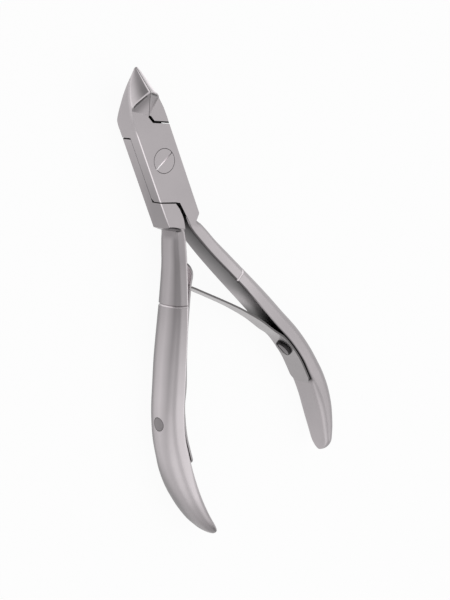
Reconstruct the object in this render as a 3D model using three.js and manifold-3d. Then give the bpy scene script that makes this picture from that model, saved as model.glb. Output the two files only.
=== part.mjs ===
// Cuticle nipper: two forged arms crossed in a screwed lap joint, opened by two interlocked leaf springs.
// Millimetres. The tool lies flat: Z is the pivot axis, +Z its front, +Y points to the jaw tips.
// The origin is on the pivot axis at the joint's back face.
// The front arm carries the left jaw, the front plate and the right handle; the rear arm is its counterpart.
import * as THREE from 'three';
import { mergeVertices } from 'three/addons/utils/BufferGeometryUtils.js';
import Module from 'manifold-3d';

const wasm = await Module();
wasm.setup();

// Lap joint
const jointThickness = 6.7;
const jointWidth = 9.3;
const lapGap = 0.1;
const edgeChamfer = 0.3;
const backEdgeChamfer = 0.12;
const shoulderSideY = 7.2;
const shoulderInnerX = 0.36;
const shoulderInnerY = 9.33;
const wedgeTopX = 0.64;
const wedgeTopY = 11.95;
const frontShoulderGap = 0.52;
const rearShoulderGap = 0.38;
const shoulderClearance = 0.25;
const shoulderReliefDepth = 0.6;
const wedgeGap = 0.5;
const footSideY = -8.4;
const footInnerX = 0.6;
const footInnerY = -10.25;
const footShoulderGap = 0.3;
const footChamfer = 0.8;
const blockEndY = -15.4;
const notchX = 3.5;
const notchY = -16.5;
const forkReach = 12;
const forkSpread = 2.4;
const scoopX = 2.9;
const scoopY = -16.9;
const scoopTilt = 30;
const scoopRadius = 1.1;
const scoopDepth = 0.42;

// Jaws
const tipReach = 23.2;
const heelReach = 17.3;
const heelHeight = 10.6;
const tipHeight = 8.05;
const neckStart = 11.3;
const jawGap = 0.12;
const lipSlant = 0.6;
const neckPitch = 0.65;
const neckFall = 0.84;
const hollowDepth = 0.42;
const grooveDepth = 0.38;
const grooveWidth = 0.32;
const grooveLead = 0.4;
const sideBulge = 0.22;

// Handles
const handleReach = 92.9;
const handleSpread = 20.5;
const handleThickness = 5.8;
const handleBreadth = 9.4;
const rightHandleTrim = 1.35;
const leftMarkReach = 34.2;
const rightMarkReach = 35.2;
const markWidth = 0.55;
const markDepth = 0.3;

// Pivot screw
const pivotHeadRadius = 2.85;
const pivotHeadHeight = 1.9;
const pivotShankRadius = 2;
const pivotClearance = 0.06;
const pivotSlotWidth = 0.45;
const pivotSlotDepth = 0.6;
const pivotSlotAngle = 20;

// Leaf springs and their screws
const leafThickness = 0.45;
const leafSeatGap = 0.12;
const leafFootWidth = 7.7;
const leafTipWidth = 6.1;
const leafFootRound = 1.8;
const leafFootLead = 8.8;
const leafLiftLead = 1.8;
const tongueWidth = 1.3;
const tongueLength = 1.3;
const hookWidth = 2.8;
const hookLength = 0.4;
const windowWidth = 1.9;
const windowLength = 2;
const springScrewReach = 60.1;
const springHeadRadius = 2.3;
const springHeadHeight = 0.95;
const springHeadEdge = 0.3;
const springShankRadius = 1.6;
const springClearance = 0.12;
const springSlotWidth = 0.45;
const springSlotDepth = 0.4;

// One overrun serves every cut
const overrun = 2;
const roundSides = 40;

const halfWidth = jointWidth / 2;
const midHeight = jointThickness / 2;
const seamX = jawGap / 2;
const leafFootReach = springScrewReach + springHeadRadius + leafFootLead;
const leafLiftReach = springScrewReach - springHeadRadius - leafLiftLead;

const steel = (name, color, roughness) => {
  const material = new THREE.MeshStandardMaterial({ color, roughness, metalness: 1 });
  material.name = name;
  return material;
};
const armSteel = steel('satin_steel', 0xb4aeae, 0.38);
const springSteel = steel('spring_steel', 0xa8a4a4, 0.32);
const screwSteel = steel('screw_steel', 0xb0aaaa, 0.34);

// Solids in and out of the boolean library
function toSolid(geometry) {
  const plain = geometry.clone();
  plain.deleteAttribute('normal');
  plain.deleteAttribute('uv');
  const merged = mergeVertices(plain, 1e-5);
  const mesh = new wasm.Mesh({
    numProp: 3,
    vertProperties: new Float32Array(merged.attributes.position.array),
    triVerts: new Uint32Array(merged.index.array),
  });
  return new wasm.Manifold(mesh);
}

function toGeometry(solid) {
  const mesh = solid.getMesh();
  const geometry = new THREE.BufferGeometry();
  geometry.setAttribute('position', new THREE.BufferAttribute(new Float32Array(mesh.vertProperties), 3));
  geometry.setIndex(new THREE.BufferAttribute(new Uint32Array(mesh.triVerts), 1));
  geometry.computeVertexNormals();
  return geometry;
}

// A closed skin over rings of equal length, with fan caps at both ends
function loft(rings) {
  const count = rings[0].length;
  const positions = rings.flat().flatMap((p) => [p.x, p.y, p.z]);
  const index = [];
  for (let r = 0; r < rings.length - 1; r += 1) {
    for (let k = 0; k < count; k += 1) {
      const a = r * count + k;
      const b = r * count + ((k + 1) % count);
      index.push(a, b, a + count, b, b + count, a + count);
    }
  }
  [0, rings.length - 1].forEach((r, end) => {
    const centre = rings[r].reduce((sum, p) => sum.add(p), new THREE.Vector3()).divideScalar(count);
    const hub = positions.length / 3;
    positions.push(centre.x, centre.y, centre.z);
    for (let k = 0; k < count; k += 1) {
      const a = r * count + k;
      const b = r * count + ((k + 1) % count);
      if (end) index.push(a, b, hub);
      else index.push(b, a, hub);
    }
  });
  const geometry = new THREE.BufferGeometry();
  geometry.setAttribute('position', new THREE.Float32BufferAttribute(positions, 3));
  geometry.setIndex(index);
  const solid = toSolid(geometry);
  return solid.volume() < 0 ? toSolid(flipped(geometry)) : solid;
}

function flipped(geometry) {
  const copy = geometry.clone();
  const index = Array.from(copy.index.array);
  for (let i = 0; i < index.length; i += 3) [index[i], index[i + 1]] = [index[i + 1], index[i]];
  copy.setIndex(index);
  return copy;
}

// An outline in XY, raised from one height to another
function prism(points, low, high) {
  const shape = new THREE.Shape(points.map(([x, y]) => new THREE.Vector2(x, y)));
  const geometry = new THREE.ExtrudeGeometry(shape, { depth: high - low, bevelEnabled: false });
  return toSolid(geometry.translate(0, 0, low));
}

const union = (solids) => solids.reduce((sum, solid) => sum.add(solid));
const mirrored = (points, side) => (side > 0 ? points : points.map(([x, y]) => [-x, y]).reverse());

// Smooth value at a place in a table of [place share, value share] rows
function follow(rows, column, place) {
  const last = rows.length - 1;
  let i = 0;
  while (i < last - 1 && rows[i + 1][0] <= place) i += 1;
  const t = THREE.MathUtils.clamp((place - rows[i][0]) / (rows[i + 1][0] - rows[i][0]), 0, 1);
  const before = rows[Math.max(i - 1, 0)];
  const after = rows[Math.min(i + 2, last)];
  const slope = (a, b) => (b[column] - a[column]) / (b[0] - a[0] || 1);
  const span = rows[i + 1][0] - rows[i][0];
  const m0 = slope(before, rows[i + 1]) * span;
  const m1 = slope(rows[i], after) * span;
  const p0 = rows[i][column];
  const p1 = rows[i + 1][column];
  return (2 * t ** 3 - 3 * t ** 2 + 1) * p0 + (t ** 3 - 2 * t ** 2 + t) * m0
    + (3 * t ** 2 - 2 * t ** 3) * p1 + (t ** 3 - t ** 2) * m1;
}

// Joint block: the half plate, the jaw root and the handle root of the arm whose jaw is on the given side.
// Rows of the fork between the handles: shares of its reach below the foot and of its spread from the axis.
const plateForkShares = [[0.055, 0.15], [0.15, 0.225], [0.325, 0.35], [0.49, 0.475], [0.66, 0.62]];
const rootForkShares = [[0.025, 0.32], [0.17, 0.1], [0.3, 0.04], [0.39, 0.04], [0.5, 0.13], [0.64, 0.32]];

const forkEdge = (shares) => shares.map(([y, x]) => [-x * forkSpread, footInnerY - y * forkReach]);

function plateOutline(side) {
  return mirrored([
    [-halfWidth, shoulderSideY],
    [-halfWidth, blockEndY],
    [-notchX, notchY],
    ...forkEdge(plateForkShares).reverse(),
    [footInnerX, footInnerY],
    [halfWidth, footSideY],
    [halfWidth, shoulderInnerY],
    [wedgeTopX + seamX, wedgeTopY],
    [wedgeTopX, wedgeTopY],
    [-shoulderInnerX, shoulderInnerY],
  ], side);
}

function jawRootOutline(side, gap) {
  const innerX = shoulderInnerX + wedgeGap;
  return mirrored([
    [halfWidth, shoulderSideY + gap],
    [halfWidth, shoulderInnerY],
    [seamX, wedgeTopY + wedgeGap],
    [seamX, wedgeTopY - wedgeGap / 2],
    [shoulderInnerX, wedgeTopY - wedgeGap],
    [innerX, shoulderInnerY + gap / 2],
  ], side);
}

// The handle root fills the other arm's layer only, so the two forks pass each other
function handleRootOutline(side) {
  return mirrored([
    [-halfWidth, footSideY - footShoulderGap],
    [-halfWidth, blockEndY],
    [-notchX, notchY],
    ...forkEdge(rootForkShares).reverse(),
  ], side);
}

// Bar that breaks the plate's foot edge on the lap face
function footBar(side) {
  const width = footChamfer * Math.SQRT2;
  const bar = new THREE.BoxGeometry(jointWidth + overrun, width, width);
  bar.rotateX(Math.PI / 4);
  bar.rotateZ(side * Math.atan2(footSideY - footInnerY, halfWidth - footInnerX));
  bar.translate(side * (halfWidth + footInnerX) / 2, (footSideY + footInnerY) / 2, midHeight);
  return toSolid(bar);
}

// The jaw root keeps a ledge close to the other plate's shoulder, below the wider gap seen from outside
function jointBlock(side, gap) {
  const own = side > 0 ? [0, midHeight - lapGap / 2] : [midHeight + lapGap / 2, jointThickness];
  const other = side > 0 ? [midHeight - lapGap, jointThickness] : [0, midHeight + lapGap];
  const ledge = side > 0 ? [0, jointThickness - shoulderReliefDepth] : [shoulderReliefDepth, jointThickness];
  return union([
    prism(plateOutline(side), ...own).subtract(footBar(side)),
    prism(jawRootOutline(side, gap), 0, jointThickness),
    prism(jawRootOutline(side, shoulderClearance), ...ledge),
    prism(handleRootOutline(side), ...other),
  ]);
}

// Jaw: rings slanted back to the side, so that the hollow's lip is a ring of its own.
// Rows: station between the neck's start and the tip, then shares of the half width and of the joint's
// thickness: back corner across and up, back at the seam up, ridge across and up.
const jawShares = [
  [0.000, 1.000, 0.000, 0.000, 1.000, 1.000],
  [0.250, 0.955, 0.000, 0.144, 0.950, 1.000],
  [0.350, 0.860, 0.085, 0.285, 0.905, 1.020],
  [0.430, 0.770, 0.180, 0.376, 0.875, 1.035],
  [0.504, 0.685, 0.278, 0.466, 0.838, 1.042],
  [0.577, 0.602, 0.378, 0.562, 0.785, 1.028],
  [0.642, 0.527, 0.476, 0.648, 0.715, 1.012],
  [0.706, 0.453, 0.581, 0.742, 0.640, 1.008],
  [0.769, 0.383, 0.692, 0.844, 0.560, 1.016],
  [0.829, 0.313, 0.812, 0.946, 0.468, 1.034],
  [0.890, 0.243, 0.940, 1.043, 0.368, 1.064],
  [0.950, 0.160, 1.060, 1.128, 0.248, 1.108],
  [1.000, 0.070, 1.150, 1.181, 0.115, 1.178],
];
const sideShares = [0.25, 0.5, 0.75];
const faceShares = [0.12, 0.26, 0.4, 0.54, 0.68, 0.84];
const bladeStations = 12;
const neckStations = 6;

function jawRing(side, station, frontHeight) {
  const share = (station - neckStart) / (tipReach - neckStart);
  const at = (column) => follow(jawShares, column, share);
  const backX = at(1) * halfWidth;
  const backZ = at(2) * jointThickness;
  const ridgeX = at(4) * halfWidth;
  const ridgeZ = at(5) * jointThickness;
  const place = (x, z) => new THREE.Vector3(side * x, station - lipSlant * x, z);
  const bulge = sideBulge * Math.min(1, (1 - share) * 3) * Math.min(1, share * 4);
  const ring = [place(seamX, at(3) * jointThickness), place(backX, backZ)];
  sideShares.forEach((t) => {
    const swell = bulge * 4 * t * (1 - t);
    ring.push(place(backX + (ridgeX - backX) * t + swell, backZ + (ridgeZ - backZ) * t));
  });
  [0, ...faceShares, 1].forEach((t) => {
    const x = ridgeX + (seamX - ridgeX) * t;
    ring.push(place(x, frontHeight(t, x, ridgeZ)));
  });
  return ring;
}

// Neck facets fall from the seam to the sides and run out into the flat front face
function neckHeight(station, depth) {
  const seamHeight = jointThickness + neckPitch * (station - neckStart);
  return (t, x, ridgeZ) => {
    const facet = seamHeight - neckFall * x - depth * 4 * t * (1 - t);
    return t === 0 ? Math.max(jointThickness, Math.min(ridgeZ, facet)) : Math.max(jointThickness, facet);
  };
}

// The hollow-ground blade face sags between the ridge and the cutting edge
function bladeHeight(station, depth) {
  const share = (station - heelReach) / (tipReach - heelReach);
  const edgeZ = heelHeight + (tipHeight - heelHeight) * share;
  return (t, x, ridgeZ) => ridgeZ + (edgeZ - ridgeZ) * t - depth * 4 * t * (1 - t);
}

function jaw(side) {
  const rings = [];
  const neckEnd = heelReach - grooveWidth - grooveLead;
  for (let i = 0; i <= neckStations; i += 1) {
    const station = neckStart + (neckEnd - neckStart) * (i / neckStations);
    rings.push(jawRing(side, station, neckHeight(station, 0)));
  }
  const grooveStation = heelReach - grooveWidth;
  rings.push(jawRing(side, grooveStation, neckHeight(grooveStation, grooveDepth)));
  for (let i = 0; i <= bladeStations; i += 1) {
    const t = i / bladeStations;
    const station = heelReach + (tipReach - heelReach) * t;
    const depth = hollowDepth * Math.min(1, t * 4) * (1 - t);
    rings.push(jawRing(side, station, bladeHeight(station, depth)));
  }
  return loft(rings);
}

// Handle: rows of shares: distance along, then how far out its inner face lies, thickness, breadth, middle
// height as a share of the joint's thickness, and how far the crest sits above the middle of half the breadth
const handleShares = [
  [0.131, 0.044, 0.397, 0.660, 0.500, 0.000],
  [0.175, 0.039, 0.440, 0.681, 0.507, 0.031],
  [0.194, 0.044, 0.569, 0.691, 0.515, 0.062],
  [0.210, 0.063, 0.621, 0.702, 0.522, 0.091],
  [0.237, 0.107, 0.647, 0.729, 0.533, 0.088],
  [0.269, 0.162, 0.655, 0.766, 0.542, 0.083],
  [0.301, 0.222, 0.686, 0.814, 0.545, 0.078],
  [0.344, 0.310, 0.707, 0.894, 0.546, 0.060],
  [0.388, 0.400, 0.733, 0.947, 0.546, 0.022],
  [0.431, 0.488, 0.767, 0.968, 0.545, -0.033],
  [0.495, 0.619, 0.810, 0.968, 0.522, -0.092],
  [0.560, 0.746, 0.836, 0.957, 0.485, -0.100],
  [0.624, 0.873, 0.853, 0.947, 0.466, -0.112],
  [0.689, 0.956, 0.905, 0.947, 0.452, -0.124],
  [0.743, 0.983, 0.983, 0.963, 0.455, -0.115],
  [0.775, 0.995, 1.000, 0.995, 0.452, -0.096],
  [0.818, 0.998, 0.983, 1.005, 0.433, -0.042],
  [0.861, 0.995, 0.888, 0.989, 0.403, 0.022],
  [0.893, 0.985, 0.802, 0.936, 0.396, 0.023],
  [0.926, 0.968, 0.698, 0.840, 0.410, 0.025],
  [0.953, 0.949, 0.560, 0.755, 0.440, 0.000],
  [0.974, 0.929, 0.466, 0.670, 0.463, 0.000],
  [1.000, 0.902, 0.345, 0.596, 0.478, 0.000],
];
const handleStations = 50;
const outerSides = 18;
const neckRoundness = 3.2;
const bellyRoundness = 2.1;
const endShare = 0.955;
const endThickShare = 0.35;
const endBroadShare = 0.08;
const settleShares = [0.19, 0.4];
const softenShares = [0.74, 0.86];

// Edge of the inner face: shares of the thickness and of half the breadth, crisp at the neck and soft at the end
const crispEdgeShares = [[0.12, 0.985], [0.03, 0.93], [0, 0.86]];
const softEdgeShares = [[0.2, 0.95], [0.06, 0.84], [0, 0.68]];

function handlePoint(share) {
  return new THREE.Vector2(follow(handleShares, 1, share) * handleSpread, -share * handleReach);
}

// The right handle ends a little short of the left one
const lastShare = (side) => (side > 0 ? 1 - rightHandleTrim / handleReach : 1);

// Inner face point, direction along, outward direction and sizes of a handle at a share of its reach
function handleFrame(share, last = 1) {
  const step = 0.002;
  const inner = handlePoint(share);
  const ahead = handlePoint(Math.min(share + step, 1));
  const behind = handlePoint(Math.min(share + step, 1) - 2 * step);
  const along = ahead.sub(behind).normalize();
  const outward = new THREE.Vector2(-along.y, along.x);
  const past = Math.max(0, share - endShare) / (last - endShare);
  const fade = Math.sqrt(Math.max(0, 1 - past ** 2));
  const thick = follow(handleShares, 2, share) * handleThickness * THREE.MathUtils.lerp(endThickShare, 1, fade);
  const halfBroad = (follow(handleShares, 3, share) * handleBreadth / 2) * Math.max(fade, endBroadShare);
  const height = follow(handleShares, 4, share) * jointThickness;
  const crest = follow(handleShares, 5, share) * halfBroad;
  return { inner, along, outward, thick, halfBroad, height, crest };
}

// One section: a flat inner face and a round outer side
function handleRing(side, share, shrink) {
  const { inner, outward, thick, halfBroad, height, crest } = handleFrame(share, lastShare(side));
  const settle = THREE.MathUtils.smoothstep(share, ...settleShares);
  const soften = THREE.MathUtils.smoothstep(share, ...softenShares);
  const power = 2 / (neckRoundness + (bellyRoundness - neckRoundness) * settle);
  const place = (out, up) => new THREE.Vector3(side * (inner.x + outward.x * out), inner.y + outward.y * out,
    height + up + crest * Math.min(1, out / thick));
  const ring = [];
  for (let k = 0; k <= outerSides; k += 1) {
    const angle = Math.PI * (k / outerSides - 0.5);
    const out = (thick / 2 - shrink) * Math.cos(angle) ** power;
    const up = (halfBroad - shrink) * Math.sign(Math.sin(angle)) * Math.abs(Math.sin(angle)) ** power;
    ring.push(place(thick / 2 + out, up));
  }
  const edge = crispEdgeShares.map(([out, up], i) => [
    thick * (out + (softEdgeShares[i][0] - out) * soften) - Math.abs(shrink),
    (up + (softEdgeShares[i][1] - up) * soften) * (halfBroad - shrink),
  ]);
  edge.forEach(([out, up]) => ring.push(place(out, up)));
  edge.reverse().forEach(([out, up]) => ring.push(place(out, -up)));
  return ring;
}

function handleBody(side) {
  const rings = [];
  const first = handleShares[0][0];
  for (let i = 0; i <= handleStations; i += 1) {
    const even = i / handleStations;
    const share = first + (lastShare(side) - first) * Math.sin((even * Math.PI) / 2) ** 0.9;
    rings.push(handleRing(side, share, 0));
  }
  return loft(rings);
}

// The fine cross groove that marks each handle: a shallow vee whose lips start outside the surface
const markLipShare = 0.4;

function handleMark(side) {
  const share = (side > 0 ? rightMarkReach : leftMarkReach) / handleReach;
  const half = markWidth / handleReach / 2;
  const outer = loft([handleRing(side, share - half, -overrun), handleRing(side, share + half, -overrun)]);
  const inner = loft([
    handleRing(side, share - 2 * half, -markDepth * markLipShare),
    handleRing(side, share, markDepth),
    handleRing(side, share + 2 * half, -markDepth * markLipShare),
  ]);
  return outer.subtract(inner);
}

// Bars that break the long edges of the joint block
function edgeBars() {
  const length = shoulderInnerY - blockEndY + 2 * overrun;
  const middle = (shoulderInnerY + blockEndY) / 2;
  return union([[-1, 0], [1, 0], [-1, 1], [1, 1]].map(([sideX, top]) => {
    const width = (top ? edgeChamfer : backEdgeChamfer) * Math.SQRT2;
    const bar = new THREE.BoxGeometry(width, length, width);
    bar.rotateY(Math.PI / 4);
    bar.translate(sideX * halfWidth, middle, top * jointThickness);
    return toSolid(bar);
  }));
}

// The scoop across the end of the shoulder, in front on the rear arm and behind on the front arm
function scoop(side) {
  const bar = new THREE.CylinderGeometry(scoopRadius, scoopRadius, jointWidth, roundSides);
  bar.rotateZ(Math.PI / 2 - side * THREE.MathUtils.degToRad(scoopTilt));
  const height = side > 0 ? jointThickness + scoopRadius - scoopDepth : scoopDepth - scoopRadius;
  bar.translate(-side * scoopX, scoopY, height);
  return toSolid(bar);
}

// Round bodies on the pivot axis
function turned(profile) {
  return toSolid(new THREE.LatheGeometry(profile.map(([r, h]) => new THREE.Vector2(r, h)), roundSides)
    .rotateX(Math.PI / 2));
}

function pivotSolid(grow, end) {
  const seat = jointThickness - pivotHeadHeight - grow;
  return turned([
    [0, -end], [pivotShankRadius + grow, -end], [pivotShankRadius + grow, seat],
    [pivotHeadRadius + grow, seat], [pivotHeadRadius + grow, jointThickness + end], [0, jointThickness + end],
  ]);
}

function pivotScrew() {
  const slot = new THREE.BoxGeometry(2 * pivotHeadRadius + overrun, pivotSlotWidth, 2 * pivotSlotDepth);
  slot.rotateZ(THREE.MathUtils.degToRad(pivotSlotAngle));
  slot.translate(0, 0, jointThickness);
  return pivotSolid(0, 0).subtract(toSolid(slot));
}

// Spring screw: axis square to the handle's inner face
function screwFrame() {
  const frame = handleFrame(springScrewReach / handleReach);
  return { ...frame, height: midHeight };
}

function onScrewAxis(side, geometry) {
  const { inner, outward, height } = screwFrame();
  const turn = new THREE.Quaternion().setFromUnitVectors(
    new THREE.Vector3(0, 1, 0), new THREE.Vector3(side * outward.x, outward.y, 0));
  geometry.applyQuaternion(turn);
  geometry.translate(side * inner.x, inner.y, height);
  return toSolid(geometry);
}

function screwBore(side, radius) {
  const { thick } = screwFrame();
  const length = 2 * thick + 2 * overrun;
  return onScrewAxis(side, new THREE.CylinderGeometry(radius, radius, length, roundSides));
}

function springScrew(side, handle) {
  const { thick } = screwFrame();
  const seat = -(leafSeatGap + leafThickness + leafSeatGap / 2);
  const top = seat - springHeadHeight;
  const profile = [
    [0, top], [springHeadRadius - 2 * springHeadEdge, top + springHeadEdge / 3],
    [springHeadRadius - springHeadEdge / 2, top + springHeadEdge], [springHeadRadius, top + 2 * springHeadEdge],
    [springHeadRadius, seat], [springShankRadius, seat], [springShankRadius, overrun], [0, overrun],
  ].map(([r, h]) => new THREE.Vector2(r, h));
  const head = onScrewAxis(side, new THREE.LatheGeometry(profile, roundSides));
  const shank = new THREE.CylinderGeometry(springShankRadius, springShankRadius, thick + overrun, roundSides);
  shank.translate(0, (thick + overrun) / 2, 0);
  const slot = new THREE.BoxGeometry(springSlotWidth, 2 * springSlotDepth, 2 * springHeadRadius + overrun);
  slot.translate(0, top, 0);
  const body = head.add(onScrewAxis(side, shank).intersect(handle));
  return body.subtract(onScrewAxis(side, slot));
}

// Leaf springs: the foot follows the handle's inner face and the blade bows across to the other leaf.
// Rows of the free part, from where the leaf lifts to its end: share of the lift's reach, and share of the
// way from the middle plane to the handle's inner face at that reach.
const rightLeafShares = [
  [0.950, 0.932],
  [0.868, 0.855],
  [0.782, 0.689],
  [0.731, 0.534],
  [0.686, 0.345],
  [0.643, 0.110],
  [0.606, -0.151],
  [0.572, -0.455],
  [0.547, -0.749],
  [0.535, -0.921],
];
const leftLeafShares = [
  [0.930, 0.945],
  [0.821, 0.931],
  [0.725, 0.906],
  [0.655, 0.863],
  [0.588, 0.788],
  [0.546, 0.711],
  [0.511, 0.568],
  [0.484, 0.524],
  [0.457, 0.563],
];
const leafStations = 44;

function leafCurve(freeShares) {
  const points = [];
  for (let i = 0; i <= 4; i += 1) {
    const reach = leafFootReach + (leafLiftReach - leafFootReach) * (i / 4);
    const { inner, outward } = handleFrame(reach / handleReach);
    points.push(inner.addScaledVector(outward, -leafSeatGap - leafThickness / 2));
  }
  freeShares.forEach(([along, across]) => {
    const { x, y } = handlePoint(along * leafLiftReach / handleReach);
    points.push(new THREE.Vector2(across * x, y));
  });
  return new THREE.SplineCurve(points);
}

function leafBody(side, curve, widthAt, stations) {
  const rings = stations.map((t) => {
    const point = curve.getPointAt(t);
    const along = curve.getTangentAt(t);
    const out = new THREE.Vector2(-along.y, along.x).multiplyScalar(leafThickness / 2);
    const half = widthAt(t) / 2;
    return [[1, 1], [1, -1], [-1, -1], [-1, 1]].map(([a, b]) => new THREE.Vector3(
      side * (point.x + a * out.x), point.y + a * out.y, midHeight + b * half));
  });
  return loft(rings);
}

// Width along a leaf, foot first: rows of the share of its length and of the way from tip width to foot width
const leafWidthShares = [[0, 1], [0.2, 1], [0.34, 0.75], [0.42, 0.5], [0.53, 0.3], [0.68, 0.22], [0.8, 0.18], [1, 0]];

function leafWidth(length) {
  return (t) => {
    const run = t * length;
    const width = leafTipWidth + (leafFootWidth - leafTipWidth) * follow(leafWidthShares, 1, t);
    const rest = Math.max(0, leafFootRound - run);
    return width - 2 * (leafFootRound - Math.sqrt(leafFootRound ** 2 - rest ** 2));
  };
}

const evenStations = (from, to, count) => Array.from(
  { length: count + 1 }, (_, i) => from + (to - from) * (i / count));

function rightLeaf() {
  const curve = leafCurve(rightLeafShares);
  const length = curve.getLength();
  const width = leafWidth(length);
  const hookStart = 1 - hookLength / length;
  const tongueStart = hookStart - tongueLength / length;
  const stepShare = 0.02 / length;
  const stations = [
    ...evenStations(0, tongueStart, leafStations), tongueStart + stepShare, hookStart, hookStart + stepShare, 1,
  ];
  const widthAt = (t) => {
    if (t <= tongueStart) return width(t);
    return t <= hookStart ? tongueWidth : hookWidth;
  };
  return leafBody(1, curve, widthAt, stations);
}

function leftLeaf() {
  const curve = leafCurve(leftLeafShares);
  const length = curve.getLength();
  const width = leafWidth(length);
  const radius = leafTipWidth / 2;
  const widthAt = (t) => {
    const rest = (1 - t) * length;
    return rest < radius ? width(t) * Math.max(0.3, Math.sqrt(1 - ((radius - rest) / radius) ** 2)) : width(t);
  };
  const tipStart = 1 - radius / length;
  const stations = [...evenStations(0, tipStart, leafStations), ...evenStations(tipStart, 1, 5).slice(1)];
  return leafBody(-1, curve, widthAt, stations).subtract(leafWindow());
}

// The window in the left leaf lies where the right leaf's tongue passes through it
function leafWindow() {
  const curve = leafCurve(rightLeafShares);
  const length = curve.getLength();
  const middle = 1 - (hookLength + tongueLength / 2) / length;
  const point = curve.getPointAt(middle);
  const along = curve.getTangentAt(middle);
  const box = new THREE.BoxGeometry(tongueLength, windowLength, windowWidth);
  box.rotateZ(Math.atan2(along.y, along.x));
  box.translate(point.x, point.y, midHeight);
  return toSolid(box);
}

// The two arms; side is the side of the arm's jaw
function arm(side, gap) {
  const handleSide = -side;
  const handle = handleBody(handleSide);
  const cuts = union([
    edgeBars(),
    scoop(side),
    pivotSolid(pivotClearance, overrun),
    handleMark(handleSide),
    screwBore(handleSide, springShankRadius + springClearance),
  ]);
  const body = union([jointBlock(side, gap), jaw(side), handle]).subtract(cuts);
  return { body, handle };
}

const rearArm = arm(1, frontShoulderGap);
const frontArm = arm(-1, rearShoulderGap);
const leafHole = (side) => screwBore(side, springShankRadius + springClearance);

const nipper = new THREE.Group();
nipper.name = 'cuticle_nipper';
const add = (name, solid, material) => {
  const mesh = new THREE.Mesh(toGeometry(solid), material);
  mesh.name = name;
  nipper.add(mesh);
};
add('rear_arm', rearArm.body, armSteel);
add('front_arm', frontArm.body, armSteel);
add('pivot_screw', pivotScrew(), screwSteel);
add('left_leaf_spring', leftLeaf().subtract(leafHole(-1)), springSteel);
add('right_leaf_spring', rightLeaf().subtract(leafHole(1)), springSteel);
add('left_spring_screw', springScrew(-1, rearArm.handle), screwSteel);
add('right_spring_screw', springScrew(1, frontArm.handle), screwSteel);

export default nipper;
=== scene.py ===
import math
import bmesh
import bpy
from mathutils import Matrix, Vector


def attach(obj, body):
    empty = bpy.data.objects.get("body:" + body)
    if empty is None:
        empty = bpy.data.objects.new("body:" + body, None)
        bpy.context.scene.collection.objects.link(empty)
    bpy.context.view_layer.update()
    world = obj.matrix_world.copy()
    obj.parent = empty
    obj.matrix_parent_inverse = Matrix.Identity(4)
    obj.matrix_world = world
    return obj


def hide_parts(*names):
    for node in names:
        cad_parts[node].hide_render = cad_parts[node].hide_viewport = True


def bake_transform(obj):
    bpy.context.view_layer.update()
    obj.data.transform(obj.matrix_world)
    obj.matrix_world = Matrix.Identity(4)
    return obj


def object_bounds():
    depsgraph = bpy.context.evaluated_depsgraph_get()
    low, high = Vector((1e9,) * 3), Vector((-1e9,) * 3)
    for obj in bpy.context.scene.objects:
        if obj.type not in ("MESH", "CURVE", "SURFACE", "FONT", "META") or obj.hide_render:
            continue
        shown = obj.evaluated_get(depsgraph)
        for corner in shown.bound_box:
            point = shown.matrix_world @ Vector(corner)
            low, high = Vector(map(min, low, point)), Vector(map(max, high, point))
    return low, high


# Cuticle nipper, lying on its back: +Y to the jaw tips, +Z out of the front, the pivot on the Z axis.
# Shapes are worked in millimetres and brought to metres when a piece is finished.
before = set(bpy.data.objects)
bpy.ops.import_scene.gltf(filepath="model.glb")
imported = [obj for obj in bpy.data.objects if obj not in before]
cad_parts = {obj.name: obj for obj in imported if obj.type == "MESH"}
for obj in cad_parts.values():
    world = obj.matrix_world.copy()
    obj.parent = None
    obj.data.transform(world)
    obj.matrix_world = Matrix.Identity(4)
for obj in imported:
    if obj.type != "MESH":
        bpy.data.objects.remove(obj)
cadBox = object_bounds()
print("frame loaded")

overrun = 2.0  # how far every cutter passes what it cuts
millimetres = 1000  # in a metre
turned = {"barSegments": 64, "profileSegments": 96, "weldReach": 0.0005}

# Shape helpers


def tableValue(rows, column, place):
    # smooth value at a place in a table whose first column is the place
    last = len(rows) - 1
    i = 0
    while i < last - 1 and rows[i + 1][0] <= place:
        i += 1
    span = rows[i + 1][0] - rows[i][0]
    t = min(max((place - rows[i][0]) / span, 0.0), 1.0)
    before, after = rows[max(i - 1, 0)], rows[min(i + 2, last)]
    m0 = (rows[i + 1][column] - before[column]) / (rows[i + 1][0] - before[0]) * span
    m1 = (after[column] - rows[i][column]) / (after[0] - rows[i][0]) * span
    p0, p1 = rows[i][column], rows[i + 1][column]
    return ((2 * t**3 - 3 * t**2 + 1) * p0 + (t**3 - 2 * t**2 + t) * m0
            + (3 * t**2 - 2 * t**3) * p1 + (t**3 - t**2) * m1)


def straightValue(rows, column, place):
    # straight-line value in such a table
    if place <= rows[0][0]:
        return rows[0][column]
    for before, after in zip(rows, rows[1:]):
        if place <= after[0]:
            rise = after[column] - before[column]
            return before[column] + rise * (place - before[0]) / (after[0] - before[0])
    return rows[-1][column]


def easeBetween(low, high, value):
    t = min(max((value - low) / (high - low), 0.0), 1.0)
    return t * t * (3 - 2 * t)


def arch(t):
    # 0 at both ends and 1 in the middle
    return 4 * t * (1 - t)


def between(pair, share):
    return pair[0] + (pair[1] - pair[0]) * share


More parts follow.
